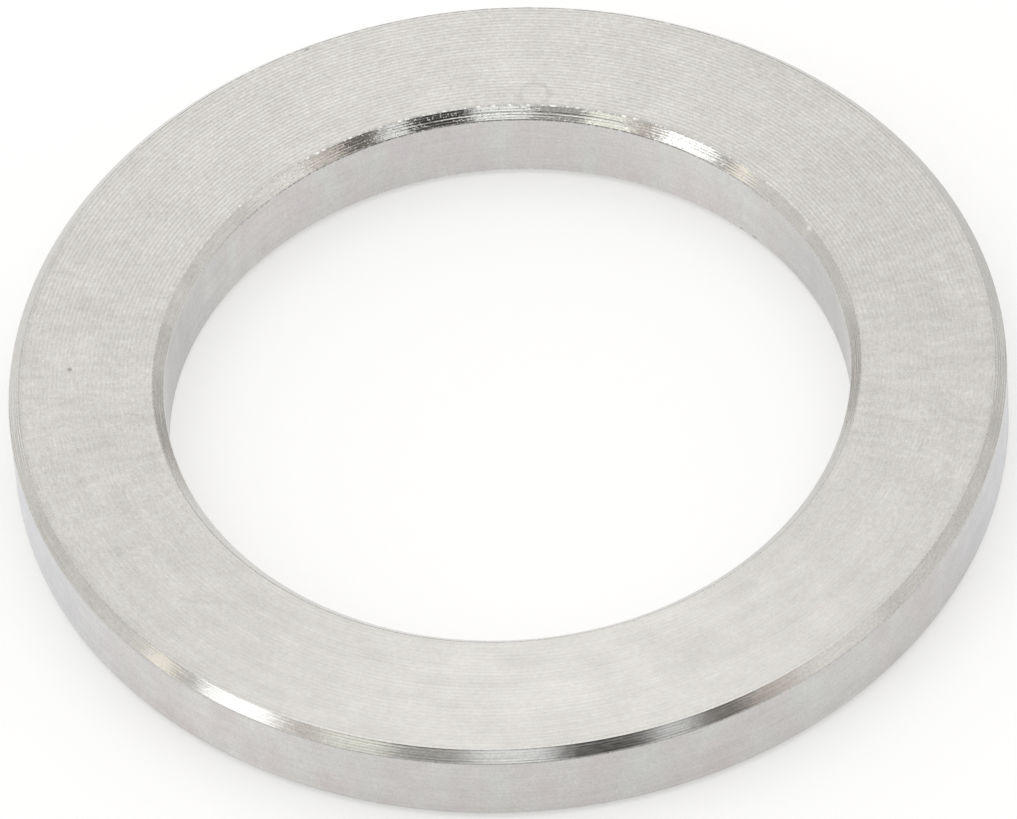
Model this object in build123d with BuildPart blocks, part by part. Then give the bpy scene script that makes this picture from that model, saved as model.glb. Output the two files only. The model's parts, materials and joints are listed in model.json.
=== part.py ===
from build123d import *

import os

# Plain turned spacer washer. The ring rests on its lower face: the origin is the centre of
# the bore on that face, and +Z runs along the bore. All sizes are in millimetres.

# Driving dimensions
bore_diameter = 22.0  # clears an M20 bolt or seats on a 22 mm shaft
outer_diameter = 32.0
thickness = 3.0
upper_chamfer = 0.35  # 45 degree edge break of the upper face, at the bore and at the rim
lower_chamfer = 0.25  # 45 degree edge break of the lower face, where the ring was parted off

# The ring: one turned piece
with BuildPart() as washer_ring:
    with BuildSketch(Plane.XY):
        Circle(outer_diameter / 2)
        Circle(bore_diameter / 2, mode=Mode.SUBTRACT)
    extrude(amount=thickness)

    upper_edges = washer_ring.edges().filter_by(GeomType.CIRCLE).group_by(Axis.Z)[-1]
    chamfer(upper_edges, length=upper_chamfer)

    lower_edges = washer_ring.edges().filter_by(GeomType.CIRCLE).group_by(Axis.Z)[0]
    chamfer(lower_edges, length=lower_chamfer)

washer_ring.part.label = "washer_ring"

os.makedirs("parts", exist_ok=True)
export_step(washer_ring.part, "parts/washer_ring.step")
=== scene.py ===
import json
import math
from collections import namedtuple

import bpy
import numpy as np
from mathutils import Matrix, Vector


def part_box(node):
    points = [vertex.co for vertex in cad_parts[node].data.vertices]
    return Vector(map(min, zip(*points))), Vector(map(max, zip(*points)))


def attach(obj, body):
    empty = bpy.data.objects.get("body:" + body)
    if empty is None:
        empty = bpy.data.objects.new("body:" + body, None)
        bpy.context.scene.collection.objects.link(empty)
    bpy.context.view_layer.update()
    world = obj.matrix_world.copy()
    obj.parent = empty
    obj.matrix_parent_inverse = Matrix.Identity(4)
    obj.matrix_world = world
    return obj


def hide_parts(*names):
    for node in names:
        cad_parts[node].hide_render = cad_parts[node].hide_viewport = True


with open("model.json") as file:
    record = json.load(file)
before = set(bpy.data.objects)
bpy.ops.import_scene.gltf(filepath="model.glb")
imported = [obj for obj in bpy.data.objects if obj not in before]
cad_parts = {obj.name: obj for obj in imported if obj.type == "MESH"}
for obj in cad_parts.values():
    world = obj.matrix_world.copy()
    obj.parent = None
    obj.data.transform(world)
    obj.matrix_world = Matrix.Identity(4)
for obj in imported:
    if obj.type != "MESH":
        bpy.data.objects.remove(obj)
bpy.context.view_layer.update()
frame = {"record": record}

MM = 0.001

# ---------------------------------------------------------------------------------------------
# Sizes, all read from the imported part
# ---------------------------------------------------------------------------------------------

NODE = "washer_ring"
_, high_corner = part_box(NODE)
rim_radius = high_corner.x
height = high_corner.z
bore = next(m for m in frame["record"]["mounts"] if m["name"] == "bore")
bore_radius = bore["dims"]["r_mm"] * MM
half_wall = bore["dims"]["length_mm"] * MM / 2
wall_foot = bore["pos_m"][2] - half_wall
wall_head = bore["pos_m"][2] + half_wall
lower_chamfer = wall_foot
upper_chamfer = height - wall_head

# ---------------------------------------------------------------------------------------------
# The ring's mesh: a lathe profile with the tool's own scallops in it, swept round the axis
# ---------------------------------------------------------------------------------------------

LINES_ROUND = 352  # mesh lines round the ring
EDGE_ROUND = 0.03 * MM  # worn corner between two turned surfaces
EDGE_BULGE = 0.4  # how far that corner stands out from its chord, as a share of the way to sharp
RAGGED = 0.006 * MM  # how far the burr on that corner wanders
WIDTH_SPREAD = 0.3  # how unlike the grooves' widths are, as a share of how unlike their depths are
DEPTH_LIMITS = (0.3, 1.9)  # the shallowest and the deepest groove, as shares of the usual depth
DEEPEST = math.radians(135)  # the side of the face where its grooves are deepest
DEEP_WIDTH = math.radians(32)  # and how far that side reaches, either way
DEEP_MORE = 0.75  # how much deeper they are there, as a share
FACE_DEPTH = 1.15  # depth of the face's grooves away from there, as a share of FACE's own
RUBBED_LEFT = 0.31  # share of the face's grooves left where it is rubbed down
CALM_LEFT = 0.45  # share of a chamfer's grooves left at the ring's two sides
WORN_LEFT = 0.4  # share of the rim chamfer's grooves left on the front half

# One turned surface: the tool's advance for each turn of the work, the groove's depth, the mesh
# rows in each groove, how unlike the grooves are, and whether the crests between them are sharp.
Cut = namedtuple("Cut", "feed depth steps spread sharp")
FACE = Cut(0.1426 * MM, 0.0025 * MM, 4, 0.15, False)
CHAMFER = Cut(0.087 * MM, 0.0034 * MM, 4, 0.4, True)
WALL = Cut(0.30 * MM, 0.0012 * MM, 3, 0.3, False)
BACK = Cut(0.375 * MM, 0.0040 * MM, 3, 0.3, False)
UNDERCUT = Cut(0.12 * MM, 0.0040 * MM, 3, 0.4, False)  # the lower chamfers
# How deep each row of a groove lies: its crest first, then its flanks and its floor.
SCALLOP = {3: (0.0, 0.9, 0.9), 4: (0.0, 0.75, 1.0, 0.75)}

# One row of the mesh, all round the ring: its radii and heights, how deep in a groove it lies,
# the surface that follows it, and whether the shading breaks at it.
Row = namedtuple("Row", "radius z hollow zone crease")

chance = np.random.default_rng(22)
angles = np.linspace(0, 2 * math.pi, LINES_ROUND, endpoint=False)


def wander(count, waves=70, fade=0.35, reach=3.5):
    """For each of count lines, a drift of about -1 to 1 round the ring, of slow and fast waves."""
    order = np.arange(1, waves + 1)
    phase = chance.uniform(0, 2 * math.pi, (count, waves))
    size = chance.normal(0, 1, (count, waves)) / order**fade
    wave = (size[:, :, None] * np.sin(order[:, None] * angles + phase[:, :, None])).sum(1)
    return wave / reach


def smooth(value, low, high):
    """0 up to low, 1 from high on, and smooth between them."""
    step = np.clip((value - low) / (high - low), 0, 1)
    return step * step * (3 - 2 * step)


def groove_left(zone):
    """The share of its depth that a surface's grooves keep, round the ring."""
    back = np.sin(angles)  # 1 at the back, 0 at the two sides and -1 at the front
    if zone == "face":
        rubbed = RUBBED_LEFT + (1 - RUBBED_LEFT) * smooth(back, -0.1, 0.45)
        off_deepest = (angles - DEEPEST) / DEEP_WIDTH
        return rubbed * (FACE_DEPTH + DEEP_MORE * np.exp(-(off_deepest**2)))
    if zone == "shoulder":
        return WORN_LEFT + (1 - WORN_LEFT) * smooth(back, 0, 0.5)
    if zone == "chamfer":
        return CALM_LEFT + (1 - CALM_LEFT) * smooth(np.abs(back), 0.55, 0.8)
    return np.ones(LINES_ROUND)


def unit(vector):
    return vector / np.linalg.norm(vector)


def turned_run(start, end, cut, zone):
    """The rows of one straight stretch of the profile, from corner to corner."""
    along = unit(end - start)
    outward = np.array([-along[1], along[0]])
    start, end = start + along * EDGE_ROUND, end - along * EDGE_ROUND
    length = np.linalg.norm(end - start)
    grooves = max(round(length / cut.feed), 1)
    widths = 1 + WIDTH_SPREAD * cut.spread * chance.normal(size=grooves)
    edges = np.concatenate([[0], np.cumsum(widths)]) * length / widths.sum()
    depths = cut.depth * (1 + cut.spread * chance.normal(size=grooves)).clip(*DEPTH_LIMITS)
    drift = wander(grooves)
    left = groove_left(zone)
    rows = []
    for k in range(grooves):
        for step in range(cut.steps):
            place = edges[k] + (edges[k + 1] - edges[k]) * step / cut.steps
            hollow = SCALLOP[cut.steps][step] * left
            depth = depths[k] * hollow * (1 + cut.spread * drift[k])
            radius, z = (start + along * place)[:, None] - outward[:, None] * depth
            crease = step == 0 and (cut.sharp or k == 0)
            rows.append(Row(radius, z, hollow, zone, crease))
    radius, z = np.repeat(end[:, None], LINES_ROUND, axis=1)
    rows.append(Row(radius, z, 0 * left, "edge", True))
    return rows


def worn_corner(before, corner, after):
    """The row in the middle of the small round between two stretches, ragged at the far top."""
    ends = [corner - unit(corner - before) * EDGE_ROUND, corner + unit(after - corner) * EDGE_ROUND]
    chord = (ends[0] + ends[1]) / 2
    middle = chord + (corner - chord) * EDGE_BULGE
    ragged = chance.normal(0, RAGGED, LINES_ROUND) * smooth(np.sin(angles), 0.6, 0.95)
    ragged *= corner[1] > height / 2
    radius, z = middle[:, None] + unit(corner - chord)[:, None] * ragged
    return Row(radius, z, np.zeros(LINES_ROUND), "edge", False)


def ring_rows():
    """All rows of the closed profile, from the foot of the bore up, out, down and back in."""
    low, top = lower_chamfer, upper_chamfer
    corners = [
        (bore_radius, low),
        (bore_radius, height - top),
        (bore_radius + top, height),
        (rim_radius - top, height),
        (rim_radius, height - top),
        (rim_radius, low),
        (rim_radius - low, 0.0),
        (bore_radius + low, 0.0),
    ]
    surfaces = [
        (WALL, "bore"),
        (CHAMFER, "chamfer"),
        (FACE, "face"),
        (CHAMFER, "shoulder"),
        (WALL, "rim"),
        (UNDERCUT, "chamfer"),
        (BACK, "back"),
        (UNDERCUT, "chamfer"),
    ]
    corners = [np.array(corner) for corner in corners]
    rows = []
    for k, (cut, zone) in enumerate(surfaces):
        corner, following = corners[k], corners[(k + 1) % len(corners)]
        rows.append(worn_corner(corners[k - 1], corner, following))
        rows += turned_run(corner, following, cut, zone)
    return rows


def crease_edges(mesh, rows):
    """Breaks the shading along the rows that are marked as creases."""
    ends = np.empty(2 * len(mesh.edges), np.int32)
    mesh.edges.foreach_get("vertices", ends)
    ends = ends.reshape(-1, 2) // LINES_ROUND
    creased = [k for k, row in enumerate(rows) if row.crease]
    sharp = (ends[:, 0] == ends[:, 1]) & np.isin(ends[:, 0], creased)
    mesh.attributes.new("sharp_edge", "BOOLEAN", "EDGE").data.foreach_set("value", sharp)


def ring_mesh(materials):
    """The closed mesh: each row joined to the next one, and the last row to the first."""
    rows = ring_rows()
    count = len(rows)
    radius = np.array([row.radius for row in rows])
    z = np.array([row.z for row in rows])
    points = np.stack([radius * np.cos(angles), radius * np.sin(angles), z], axis=-1)
    row, line = np.meshgrid(np.arange(count), np.arange(LINES_ROUND), indexing="ij")
    next_row, next_line = (row + 1) % count, (line + 1) % LINES_ROUND
    corners = [(next_row, line), (next_row, next_line), (row, next_line), (row, line)]
    quads = np.stack([r * LINES_ROUND + at for r, at in corners], axis=-1).reshape(-1, 4)
    mesh = bpy.data.meshes.new("turned_ring")
    mesh.from_pydata(points.reshape(-1, 3).tolist(), [], quads.tolist())
    for material in materials.values():
        mesh.materials.append(material)
    slots = {zone: k for k, zone in enumerate(materials)}
    which = np.repeat([slots[row.zone] for row in rows], LINES_ROUND).astype(np.int32)
    mesh.polygons.foreach_set("material_index", which)
    hollow = np.array([row.hollow for row in rows], np.float32)
    mesh.attributes.new("hollow", "FLOAT", "POINT").data.foreach_set("value", hollow.ravel())
    mesh.shade_smooth()
    crease_edges(mesh, rows)
    return mesh


# ---------------------------------------------------------------------------------------------
# Materials
# ---------------------------------------------------------------------------------------------

# Noise scales are in cells per metre, and round the ring in cells per radian.
SPECK = 12300.0  # the fine specks of the chamfers, the walls and the corners
METAL = (0.682, 0.670, 0.647)  # bare aluminium, as the face and the chamfers show it
# Each wall has one colour at the front and the back, and another at the ring's two sides: a painted
# reflection on the rim, painted shade in the bore.
# The walls' own colours are the aluminium made a little darker on the rim and a little lighter in
# the bore: painted shade and painted light.
RIM_METAL = (0.668, 0.651, 0.639)
RIM_SIDE_PAINTED_LIGHT = (0.682, 0.686, 0.705)  # painted reflection: lighter and cooler
BORE_METAL = (0.702, 0.687, 0.676)
BORE_SIDE_PAINTED_SHADE = (0.613, 0.606, 0.603)  # painted shade: darker


class Nodes:
    """Short names for making and linking shader nodes."""

    def __init__(self, tree):
        self.tree = tree

    def add(self, kind, **settings):
        node = self.tree.nodes.new(kind)
        for name, value in settings.items():
            setattr(node, name, value)
        return node

    def put(self, socket, value):
        if isinstance(value, bpy.types.NodeSocket):
            self.tree.links.new(value, socket)
        else:
            socket.default_value = value

    def math(self, operation, *values):
        node = self.add("ShaderNodeMath", operation=operation)
        for socket, value in zip(node.inputs, values):
            self.put(socket, value)
        return node.outputs[0]

    def product(self, factors):
        result = factors[0]
        for factor in factors[1:]:
            result = self.math("MULTIPLY", result, factor)
        return result

    def noise(self, vector, scale, detail=2.0, roughness=0.5):
        node = self.add("ShaderNodeTexNoise")
        self.put(node.inputs["Vector"], vector)
        self.put(node.inputs["Scale"], scale)
        self.put(node.inputs["Detail"], detail)
        self.put(node.inputs["Roughness"], roughness)
        return node.outputs["Fac"]

    def spread(self, value, from_low, from_high, to_low, to_high, curve="LINEAR"):
        """The value taken from one range to another, and held at that one's ends."""
        node = self.add("ShaderNodeMapRange", interpolation_type=curve)
        for name, number in (
            ("Value", value),
            ("From Min", from_low),
            ("From Max", from_high),
            ("To Min", to_low),
            ("To Max", to_high),
        ):
            self.put(node.inputs[name], number)
        return node.outputs["Result"]

    def blend(self, first, second, share):
        """The first colour where the share is 0, the second where it is 1."""
        mix = self.add("ShaderNodeMix", data_type="RGBA")
        self.put(mix.inputs["Factor"], share)
        for name, colour in (("A", first), ("B", second)):
            plain = isinstance(colour, tuple)
            self.put(mix.inputs[name], (*colour, 1) if plain else colour)
        return mix.outputs["Result"]

    def two_tone(self, colour, value, swing):
        """A colour that turns a little pinker or a little cooler with a noise value."""
        red, green, blue = colour
        pink = (red * (1 + swing), green * (1 - swing), blue)
        cool = (red * (1 - swing), green * (1 + swing), blue)
        return self.blend(pink, cool, self.spread(value, 0.3, 0.7, 0.0, 1.0))

    def tint(self, colour, factor):
        """A colour times a varying factor."""
        node = self.add("ShaderNodeVectorMath", operation="SCALE")
        self.put(node.inputs[0], colour)
        self.put(node.inputs["Scale"], factor)
        return node.outputs[0]


class Lathe(Nodes):
    """Nodes with the lathe's own coordinates: the radius, the height and the way round."""

    def __init__(self, tree):
        super().__init__(tree)
        self.place = self.add("ShaderNodeTexCoord").outputs["Object"]
        parts = self.add("ShaderNodeSeparateXYZ")
        self.put(parts.inputs[0], self.place)
        x, y, self.height = parts.outputs
        square = self.math("ADD", self.math("MULTIPLY", x, x), self.math("MULTIPLY", y, y))
        self.radius = self.math("SQRT", square)
        self.way_x = self.math("DIVIDE", x, self.radius)
        self.way_y = self.math("DIVIDE", y, self.radius)

    def toward(self, angle):
        """1 on the side of the ring at that angle, in degrees, and -1 on the opposite side."""
        turn = math.radians(angle)
        x = self.math("MULTIPLY", self.way_x, math.cos(turn))
        y = self.math("MULTIPLY", self.way_y, math.sin(turn))
        return self.math("ADD", x, y)

    def stretched(self, across, fineness, round_cells, detail=2.0, roughness=0.5):
        """Noise with fineness cells per metre across the grooves, round_cells per radian along."""
        vector = self.add("ShaderNodeCombineXYZ")
        self.put(vector.inputs[0], self.math("MULTIPLY", across, fineness))
        self.put(vector.inputs[1], self.math("MULTIPLY", self.way_x, round_cells))
        self.put(vector.inputs[2], self.math("MULTIPLY", self.way_y, round_cells))
        return self.noise(vector.outputs[0], 1.0, detail=detail, roughness=roughness)

    def shade(self, value, amount):
        """A factor about 1 from a noise value, amount either way."""
        swing = self.spread(value, 0.25, 0.75, -1.0, 1.0)
        return self.math("ADD", self.math("MULTIPLY", swing, amount), 1.0)

    def painted_groove_shade(self, amount):
        """Painted light and shade: a factor above 1 at the grooves' crests and below 1 in their
        floors.
        """
        hollow = self.add("ShaderNodeAttribute", attribute_name="hollow").outputs["Fac"]
        return self.spread(hollow, 0.0, 2.0, 1 + amount, 1 - 3 * amount)

    def distance(self, angle, radius, z):
        """How far the surface is from the point at that angle, in degrees, radius and height."""
        turn = math.radians(angle)
        node = self.add("ShaderNodeVectorMath", operation="DISTANCE")
        self.put(node.inputs[0], self.place)
        self.put(node.inputs[1], (radius * math.cos(turn), radius * math.sin(turn), z))
        return node.outputs["Value"]

    def spot(self, angle, radius, z, size, shade):
        """A factor that is shade at that point and 1 from size on."""
        return self.spread(self.distance(angle, radius, z), 0.3 * size, size, shade, 1.0)

    def smudge(self, angle, radius, heading, length, width, shade):
        """A factor that is shade in the middle of a long soft mark and 1 outside it."""
        turn, heading = math.radians(angle), math.radians(heading)
        offset = self.add("ShaderNodeVectorMath", operation="SUBTRACT")
        self.put(offset.inputs[0], self.place)
        self.put(offset.inputs[1], (radius * math.cos(turn), radius * math.sin(turn), height))
        squares = []
        for size, way in ((length / 2, heading), (width / 2, heading + math.pi / 2)):
            along = self.add("ShaderNodeVectorMath", operation="DOT_PRODUCT")
            self.put(along.inputs[0], offset.outputs[0])
            self.put(along.inputs[1], (math.cos(way) / size, math.sin(way) / size, 0))
            squares.append(self.math("POWER", along.outputs["Value"], 2.0))
        return self.spread(self.math("ADD", *squares), 0.1, 1.0, shade, 1.0, curve="SMOOTHSTEP")


def start_metal(name):
    """A bare metal material, with the nodes to build it from and its shader."""
    material = bpy.data.materials.new(name)
    material.use_nodes = True
    tree = material.node_tree
    tree.nodes.clear()
    n = Lathe(tree)
    shader = n.add("ShaderNodeBsdfPrincipled")
    output = n.add("ShaderNodeOutputMaterial")
    tree.links.new(shader.outputs[0], output.inputs["Surface"])
    n.put(shader.inputs["Metallic"], 1.0)
    return material, n, shader


def finish_metal(n, shader, colour, factors, roughness, anisotropy, relief, strength):
    """Joins a metal's parts. Its highlights stretch across the tool marks, not along them."""
    n.put(shader.inputs["Base Color"], n.tint(colour, n.product(factors)))
    n.put(shader.inputs["Roughness"], roughness)
    n.put(shader.inputs["Anisotropic"], anisotropy)
    n.put(shader.inputs["Anisotropic Rotation"], 0.25)
    tangent = n.add("ShaderNodeTangent", direction_type="RADIAL", axis="Z")
    n.put(shader.inputs["Tangent"], tangent.outputs[0])
    bump = n.add("ShaderNodeBump")
    n.put(bump.inputs["Strength"], strength)
    n.put(bump.inputs["Distance"], 0.01 * MM)
    n.put(bump.inputs["Height"], relief)
    n.put(shader.inputs["Normal"], bump.outputs[0])


# Long soft marks on the upper face: the middle's angle and radius, the heading, the length, the
# width and how dark it is. Angles are in degrees and lengths in millimetres.
SCRATCHES = [
    (221.5, 13.16, -14.5, 2.6, 0.50, 0.955),
    (290.5, 13.50, 20.5, 2.4, 1.10, 0.965),
    (156.4, 14.72, -6.0, 0.8, 0.12, 0.920),
    (154.1, 12.88, -6.0, 0.6, 0.12, 0.920),
    (151.2, 13.88, -8.0, 0.9, 0.35, 0.950),
    (162.8, 13.92, 60.0, 0.9, 0.45, 0.950),
    (159.0, 11.52, -6.0, 0.9, 0.12, 0.920),
    (158.4, 15.16, -4.0, 0.8, 0.14, 0.935),
    (179.1, 14.72, -6.0, 1.7, 0.18, 0.935),
    (183.4, 12.04, -14.0, 0.7, 0.14, 0.890),
    (183.7, 14.72, -6.0, 1.6, 0.35, 0.955),
]


def face_marks(n):
    """Small marks on the upper face: a pit, a stain, a nick, a droplet's ring and scratches."""
    pit = n.spot(174.3, 14.04 * MM, height, 0.11 * MM, 0.58)
    stain = n.spot(175.5, 12.5 * MM, height, 0.25 * MM, 0.94)
    nick = n.spot(111.5, 15.62 * MM, height, 0.14 * MM, 0.6)
    off_ring = n.math("SUBTRACT", n.distance(82.1, 11.82 * MM, height), 0.48 * MM)
    ring = n.spread(n.math("ABSOLUTE", off_ring), 0.03 * MM, 0.12 * MM, 0.90, 1.0)
    scratches = [
        n.smudge(angle, radius * MM, heading, length * MM, width * MM, shade)
        for angle, radius, heading, length, width, shade in SCRATCHES
    ]
    return [pit, stain, nick, ring, *scratches]


def turned_face():
    """The upper face: grooves, fine lines, smears and small marks, with painted light and shade by
    side and on the grooves.
    """
    material, n, shader = start_metal("turned_face")
    keen = n.spread(n.way_y, -0.85, -0.35, 0.05, 0.1)  # the front is rubbed smoother
    lines = n.stretched(n.radius, 12000.0, 3.0, detail=3.0, roughness=0.6)
    streaks = n.stretched(n.radius, 15000.0, 60.0, detail=1.0)
    drag = n.stretched(n.radius, 2500.0, 4.0, detail=3.0)
    weave = n.stretched(n.radius, 600.0, 45.0)
    woven = n.spread(n.math("ABSOLUTE", n.way_x), 0.84, 0.97, 0.0, 0.06)
    mottle = n.noise(n.place, 700.0, detail=4.0)
    smear = n.noise(n.place, 6100.0, detail=3.0)
    speck = n.noise(n.place, 19300.0, detail=1.0)
    face_edge = rim_radius - upper_chamfer
    factors = [
        # painted light on the grooves' crests and painted shade in their floors
        n.painted_groove_shade(0.047),
        n.spread(n.radius, face_edge - 0.25 * MM, face_edge - 0.03 * MM, 1.0, 0.95),
        n.spread(n.way_y, -0.6, 1.0, 0.96, 1.035),  # painted light: lighter toward the back
        n.spread(n.way_y, -1.0, -0.8, 1.055, 1.0),  # painted light: lighter at the very front as well
        n.spread(n.toward(152), 0.85, 1.0, 1.0, 1.04),  # painted light: lighter at the left
        n.shade(streaks, n.math("MULTIPLY", keen, 0.6)),
        n.shade(speck, keen),
        n.shade(smear, n.math("MULTIPLY", keen, 0.6)),
        n.shade(weave, woven),
        n.shade(drag, n.spread(n.way_y, -0.6, 0.2, 0.05, 0.03)),  # smeared most in front
        n.shade(mottle, n.spread(n.way_y, -0.6, 0.2, 0.05, 0.035)),
        *face_marks(n),
    ]
    colour = n.two_tone(METAL, smear, 0.009)
    roughness = n.spread(mottle, 0.3, 0.7, 0.27, 0.32)
    finish_metal(n, shader, colour, factors, roughness, 0.5, lines, 0.25)
    return material


def turned_back():
    """The lower face, parted off with a coarser tool."""
    material, n, shader = start_metal("turned_back")
    lines = n.stretched(n.radius, 9000.0, 3.0, detail=3.0, roughness=0.6)
    streaks = n.stretched(n.radius, 12000.0, 50.0, detail=1.0)
    mottle = n.noise(n.place, 900.0, detail=3.0)
    # the first factor is painted light on the grooves' crests and painted shade in their floors
    factors = [n.painted_groove_shade(0.05), n.shade(streaks, 0.08), n.shade(mottle, 0.03)]
    roughness = n.spread(mottle, 0.3, 0.7, 0.3, 0.36)
    finish_metal(n, shader, METAL, factors, roughness, 0.5, lines, 0.3)
    return material


def chamfer_marks(n):
    """Fine lines along a chamfer, and nicks across them."""
    lines = n.stretched(n.height, 30000.0, 4.0)
    nicks = n.stretched(n.height, 18000.0, 50.0)
    return lines, nicks


def turned_chamfer():
    """The bore's upper chamfer, with glints at its far side, and both of the lower ones; painted
    shade darkens their front.
    """
    material, n, shader = start_metal("turned_chamfer")
    lines, nicks = chamfer_marks(n)
    speck = n.noise(n.place, SPECK, detail=1.0)
    glints = n.spread(n.noise(n.place, 13000.0, detail=1.0), 0.65, 0.75, 0.0, 1.8)
    keen = n.spread(n.way_y, 0.7, 0.85, 0.0, 1.0)  # its marks are crisp at the back only
    # painted shade: the front of these chamfers is darker, most at the right
    front = n.spread(n.way_x, -0.8, 0.8, 0.88, 0.80)
    factors = [
        # painted light on the grooves' crests and painted shade in their floors
        n.painted_groove_shade(0.06),
        n.shade(lines, 0.04),
        n.shade(nicks, 0.06),
        n.shade(speck, n.spread(keen, 0.0, 1.0, 0.05, 0.13)),
        n.spread(n.way_y, -0.5, -0.3, front, 1.0),
        n.spread(n.toward(10), 0.985, 1.0, 1.0, 0.93),  # painted shade: a darker stretch at the right
        n.spot(26.4, 11.27 * MM, height - 0.07 * MM, 0.13 * MM, 1.3),  # painted glint: a bright speck where a nick catches the light
    ]
    roughness = n.spread(nicks, 0.3, 0.7, 0.07, 0.12)
    marks = n.math("ADD", nicks, glints)
    marks = n.math("MULTIPLY", marks, n.spread(keen, 0.0, 1.0, 0.3, 1.0))
    relief = n.math("ADD", lines, marks)
    finish_metal(n, shader, METAL, factors, roughness, 0.6, relief, 0.36)
    return material


def turned_shoulder():
    """The rim's upper chamfer: rubbed soft at the front, with painted shade that darkens it at the
    back, to the right and at the very front.
    """
    material, n, shader = start_metal("turned_shoulder")
    lines, nicks = chamfer_marks(n)
    speck = n.noise(n.place, SPECK, detail=1.0)
    # painted shade: the back of the rim chamfer is darker, most at the right
    back = n.spread(n.way_x, -1.0, 1.0, 0.88, 0.75)
    factors = [
        # painted light on the grooves' crests and painted shade in their floors
        n.painted_groove_shade(0.05),
        n.shade(lines, 0.04),
        n.shade(nicks, 0.05),
        n.shade(speck, 0.07),
        # painted shade: darker to the right, a little darker at the very front, and darker at the
        # back
        n.spread(n.way_x, -0.6, 0.6, 0.995, 0.935),
        n.spread(n.way_y, -0.9, -0.6, 0.94, 1.0),
        n.spread(n.way_y, -0.15, 0.1, 1.0, back),
    ]
    soft = n.spread(n.way_y, -0.9, -0.4, 0.19, 0.10)
    roughness = n.math("ADD", soft, n.spread(nicks, 0.3, 0.7, -0.02, 0.02))
    relief = n.math("ADD", lines, nicks)
    finish_metal(n, shader, METAL, factors, roughness, 0.6, relief, 0.2)
    return material


def turned_wall(name, colour, painted_side_colour, painted_light_lean):
    """A wall, lighter to the right by its lean in painted light, with a painted side colour at the
    ring's two sides.
    """
    material, n, shader = start_metal(name)
    lines = n.stretched(n.height, 12000.0, 4.0, detail=3.0)
    blotch = n.noise(n.place, 1300.0, detail=3.0, roughness=0.6)
    stain = n.stretched(n.height, 350.0, 11.0, detail=4.0, roughness=0.6)
    speck = n.noise(n.place, SPECK, detail=1.0)
    # painted light and shade: the share of the painted side colour, at the ring's two sides
    ends = n.spread(n.math("ABSOLUTE", n.way_x), 0.78, 0.97, 0.0, 1.0)
    factors = [
        # painted light and shade: the wall lighter on one side and darker on the other
        n.spread(n.way_x, -0.6, 0.6, 1 - painted_light_lean, 1 + painted_light_lean),
        n.shade(lines, 0.05),
        n.shade(blotch, 0.06),
        n.shade(stain, 0.05),
        n.shade(speck, 0.07),
        n.spot(40.2, bore_radius, wall_foot, 0.16 * MM, 0.5),  # two dark specks in the bore
        n.spot(43.4, bore_radius, wall_foot, 0.13 * MM, 0.6),
    ]
    colour = n.two_tone(colour, stain, 0.02)
    colour = n.blend(colour, painted_side_colour, ends)
    roughness = n.spread(blotch, 0.3, 0.7, 0.33, 0.39)
    finish_metal(n, shader, colour, factors, roughness, 0.85, lines, 0.2)
    return material


def worn_edge():
    """The fine burr along each corner: painted shade where it breaks and painted glints between its
    breaks, strongest at the far side and faint elsewhere.
    """
    material, n, shader = start_metal("worn_edge")
    breaks = n.stretched(n.height, 3000.0, 70.0, detail=3.0)
    speck = n.noise(n.place, SPECK, detail=1.0)
    # painted shade where the burr breaks, deepest at the far side, and painted glints between the
    # breaks
    breaks_and_painted_shade = n.spread(n.way_y, 0.5, 0.85, 0.97, 0.55)
    whole = n.spread(n.height, wall_foot, wall_head, 0.9, 0.0)  # at the foot of the ring
    breaks_and_painted_shade = n.math("MAXIMUM", breaks_and_painted_shade, whole)
    painted_glint_level = n.spread(n.way_y, 0.0, 0.85, 1.0, 1.1)
    rubbed = n.spread(n.radius, bore_radius, rim_radius, 1.0, 0.82)  # painted shade: the front darker, most outside
    factors = [
        n.spread(breaks, 0.48, 0.66, breaks_and_painted_shade, painted_glint_level),
        n.spread(n.way_y, -0.6, -0.2, rubbed, 1.0),
        n.shade(speck, 0.12),
    ]
    roughness = n.spread(speck, 0.3, 0.7, 0.25, 0.35)
    finish_metal(n, shader, METAL, factors, roughness, 0.0, speck, 0.5)
    return material


materials = {
    "face": turned_face(),
    "chamfer": turned_chamfer(),
    "shoulder": turned_shoulder(),
    "rim": turned_wall("turned_rim", RIM_METAL, RIM_SIDE_PAINTED_LIGHT, -0.03),
    "bore": turned_wall("turned_bore", BORE_METAL, BORE_SIDE_PAINTED_SHADE, 0.012),
    "back": turned_back(),
    "edge": worn_edge(),
}
ring = bpy.data.objects.new("washer_ring_turned", ring_mesh(materials))
bpy.context.scene.collection.objects.link(ring)
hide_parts(NODE)
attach(ring, "root")

# ---------------------------------------------------------------------------------------------
# Floor, light and camera
# ---------------------------------------------------------------------------------------------

VIEW_ELEVATION = math.radians(49.24)
VIEW_ROLL = math.radians(-4.51)
VIEW_DISTANCE = 358.6 * MM
VIEW_LENS = 396.9  # millimetres, on a 36 mm wide sensor
AIM_RIGHT = 0.066 * MM  # where the camera's axis passes the centre of the upper face
AIM_DOWN = 1.331 * MM


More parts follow.
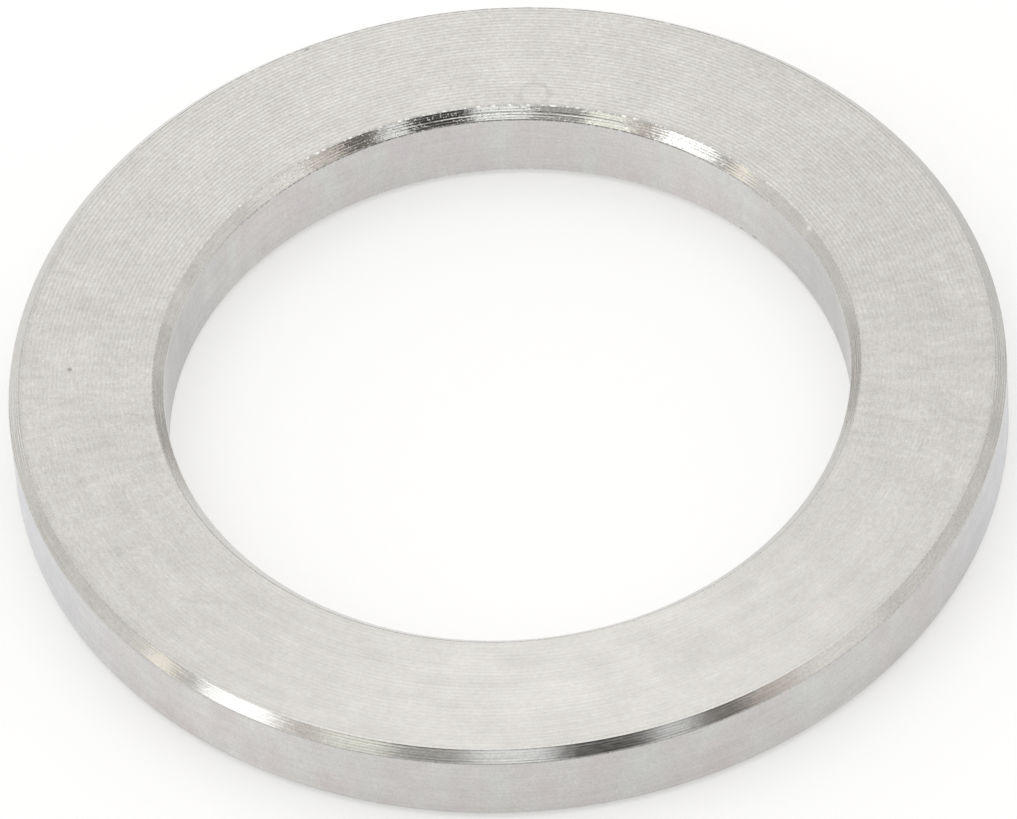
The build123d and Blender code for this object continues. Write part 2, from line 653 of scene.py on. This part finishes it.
def pale_floor():
    """A white light table, which glows a little, so that the ring's shadow on it is faint."""
    half = 1.5  # metres
    mesh = bpy.data.meshes.new("floor")
    mesh.from_pydata(
        [(-half, -half, 0), (half, -half, 0), (half, half, 0), (-half, half, 0)], [], [(0, 1, 2, 3)]
    )
    material = bpy.data.materials.new("floor_white")
    material.use_nodes = True
    shader = material.node_tree.nodes["Principled BSDF"]
    shader.inputs["Base Color"].default_value = (0.62, 0.62, 0.62, 1)
    shader.inputs["Emission Color"].default_value = (1, 1, 1, 1)
    shader.inputs["Emission Strength"].default_value = 0.40
    shader.inputs["Roughness"].default_value = 0.9
    shader.inputs["Specular IOR Level"].default_value = 0.0
    mesh.materials.append(material)
    floor = bpy.data.objects.new("floor", mesh)
    bpy.context.scene.collection.objects.link(floor)


# What stands round the camera in the light tent's open front: from this azimuth on, in degrees
# from the camera to its right, the light that comes from there and its tint. The first and the
# last one change evenly, from and to the light at the back.
WARM = (1.0, 0.985, 0.96)
CREAM = (1.0, 0.96, 0.86)
COOL = (0.97, 0.99, 1.0)
GREENISH = (0.99, 1.0, 0.92)
BROWN = (1.0, 0.93, 0.87)
TENT_OPENING = [
    (-180, 0.77, WARM),
    (-145, 0.77, WARM),
    (-81.5, 1.25, CREAM),
    (-76, 0.60, WARM),
    (-70, 1.75, COOL),
    (-54.5, 0.68, BROWN),
    (-46, 1.38, GREENISH),
    (-31, 0.51, WARM),
    (-14, 1.20, COOL),
    (4.3, 0.08, BROWN),
    (24.8, 1.12, COOL),
    (34, 0.22, BROWN),
    (45, 0.73, BROWN),
    (56, 0.98, WARM),
    (75, 0.79, WARM),
    (113, 0.68, WARM),
]
BACK_LIGHT = (0.97, 0.76)  # on the left and on the right
OPENING_SOFT = 0.35  # degrees over which one entry gives way to the next, either way
OPENING_FOOT = (0, 4)  # elevation, in degrees, over which the table gives way to the opening
OPENING_HEAD = (47, 56)  # and over which the opening gives way to the tent's roof
TENT_LIGHT = [(0, 0.76), (30, 0.84), (47, 0.95), (55, 1.15), (66, 1.55), (90, 1.35)]
FRONT = (38, 50)  # degrees either side of the camera over which the dark tripod gives way
TRIPOD_HEAD = (30, 37)  # and the elevations over which it does
TRIPOD_LIGHT = 0.3
CLUTTER_LIGHT = (0.85, 1.15)  # how the light in the opening varies from spot to spot


def opening_colours(n, azimuth):
    """The light from the tent's opening, by azimuth."""
    ramp = n.add("ShaderNodeValToRGB")
    n.put(ramp.inputs[0], n.spread(azimuth, -math.pi, math.pi, 0.0, 1.0))
    brightest = max(light for _, light, _ in TENT_OPENING)
    colours = [
        [light * part / brightest for part in tint] + [1] for _, light, tint in TENT_OPENING
    ]
    stops = ramp.color_ramp.elements
    for stop, light in zip(stops, BACK_LIGHT):
        stop.color = [light * part / brightest for part in WARM] + [1]
    for k in range(1, len(TENT_OPENING)):
        start = TENT_OPENING[k][0]
        stops.new((start - OPENING_SOFT + 180) / 360).color = colours[k - 1]
        stops.new((start + OPENING_SOFT + 180) / 360).color = colours[k]
    return n.tint(ramp.outputs["Color"], brightest)


def tent_colours(n, rise):
    """The light from the tent itself, by elevation."""
    ramp = n.add("ShaderNodeValToRGB")
    n.put(ramp.inputs[0], n.spread(rise, 0.0, math.pi / 2, 0.0, 1.0))
    brightest = max(light for _, light in TENT_LIGHT)
    levels = ramp.color_ramp.elements
    levels.remove(levels[1])
    for k, (degrees, light) in enumerate(TENT_LIGHT):
        level = levels[0] if k == 0 else levels.new(degrees / 90)
        level.color = [light * part / brightest for part in (1, 0.998, 0.992)] + [1]
    return n.tint(ramp.outputs["Color"], brightest)


def light_tent():
    """A soft white tent as the world, with its open front where the camera stands."""
    world = bpy.data.worlds.new("light_tent")
    bpy.context.scene.world = world
    world.use_nodes = True
    tree = world.node_tree
    tree.nodes.clear()
    n = Nodes(tree)
    direction = n.add("ShaderNodeTexCoord").outputs["Generated"]
    parts = n.add("ShaderNodeSeparateXYZ")
    n.put(parts.inputs[0], direction)
    x, y, z = parts.outputs
    azimuth = n.math("ARCTAN2", x, n.math("MULTIPLY", y, -1.0))
    rise = n.math("ARCSINE", z)
    foot = n.spread(rise, *map(math.radians, OPENING_FOOT), 0.0, 1.0, curve="SMOOTHSTEP")
    head = n.spread(rise, *map(math.radians, OPENING_HEAD), 1.0, 0.0, curve="SMOOTHSTEP")
    clutter = n.spread(n.noise(direction, 9.0, detail=3.0), 0.3, 0.7, *CLUTTER_LIGHT)
    aside = n.spread(n.math("ABSOLUTE", azimuth), *map(math.radians, FRONT), TRIPOD_LIGHT, 1.0)
    above = n.spread(rise, *map(math.radians, TRIPOD_HEAD), TRIPOD_LIGHT, 1.0)
    clutter = n.math("MULTIPLY", clutter, n.math("MAXIMUM", aside, above))
    opening = n.tint(opening_colours(n, azimuth), clutter)
    in_opening = n.math("MULTIPLY", foot, head)
    light = n.add("ShaderNodeBackground")
    n.put(light.inputs["Color"], n.blend(tent_colours(n, rise), opening, in_opening))
    plain = n.add("ShaderNodeBackground")
    plain.inputs["Color"].default_value = (1, 1, 1, 1)
    either = n.add("ShaderNodeMixShader")
    n.put(either.inputs[0], n.add("ShaderNodeLightPath").outputs["Is Camera Ray"])
    tree.links.new(light.outputs[0], either.inputs[1])
    tree.links.new(plain.outputs[0], either.inputs[2])
    output = n.add("ShaderNodeOutputWorld")
    tree.links.new(either.outputs[0], output.inputs["Surface"])


def photo_camera():
    """A long lens from the front and well above, as the ring is seen in its picture."""
    tilt = Matrix.Rotation(math.pi / 2 - VIEW_ELEVATION, 3, "X")
    turn = tilt @ Matrix.Rotation(VIEW_ROLL, 3, "Z")
    right, up, back = turn.col
    aim = Vector((0, 0, height)) + right * AIM_RIGHT - up * AIM_DOWN
    data = bpy.data.cameras.new("camera")
    data.lens = VIEW_LENS
    data.sensor_width = 36
    data.clip_start = 0.01
    data.clip_end = 20
    camera = bpy.data.objects.new("camera", data)
    camera.matrix_world = Matrix.Translation(aim + back * VIEW_DISTANCE) @ turn.to_4x4()
    bpy.context.scene.collection.objects.link(camera)
    bpy.context.scene.camera = camera


pale_floor()
light_tent()
photo_camera()
bpy.context.scene.view_settings.view_transform = "Standard"
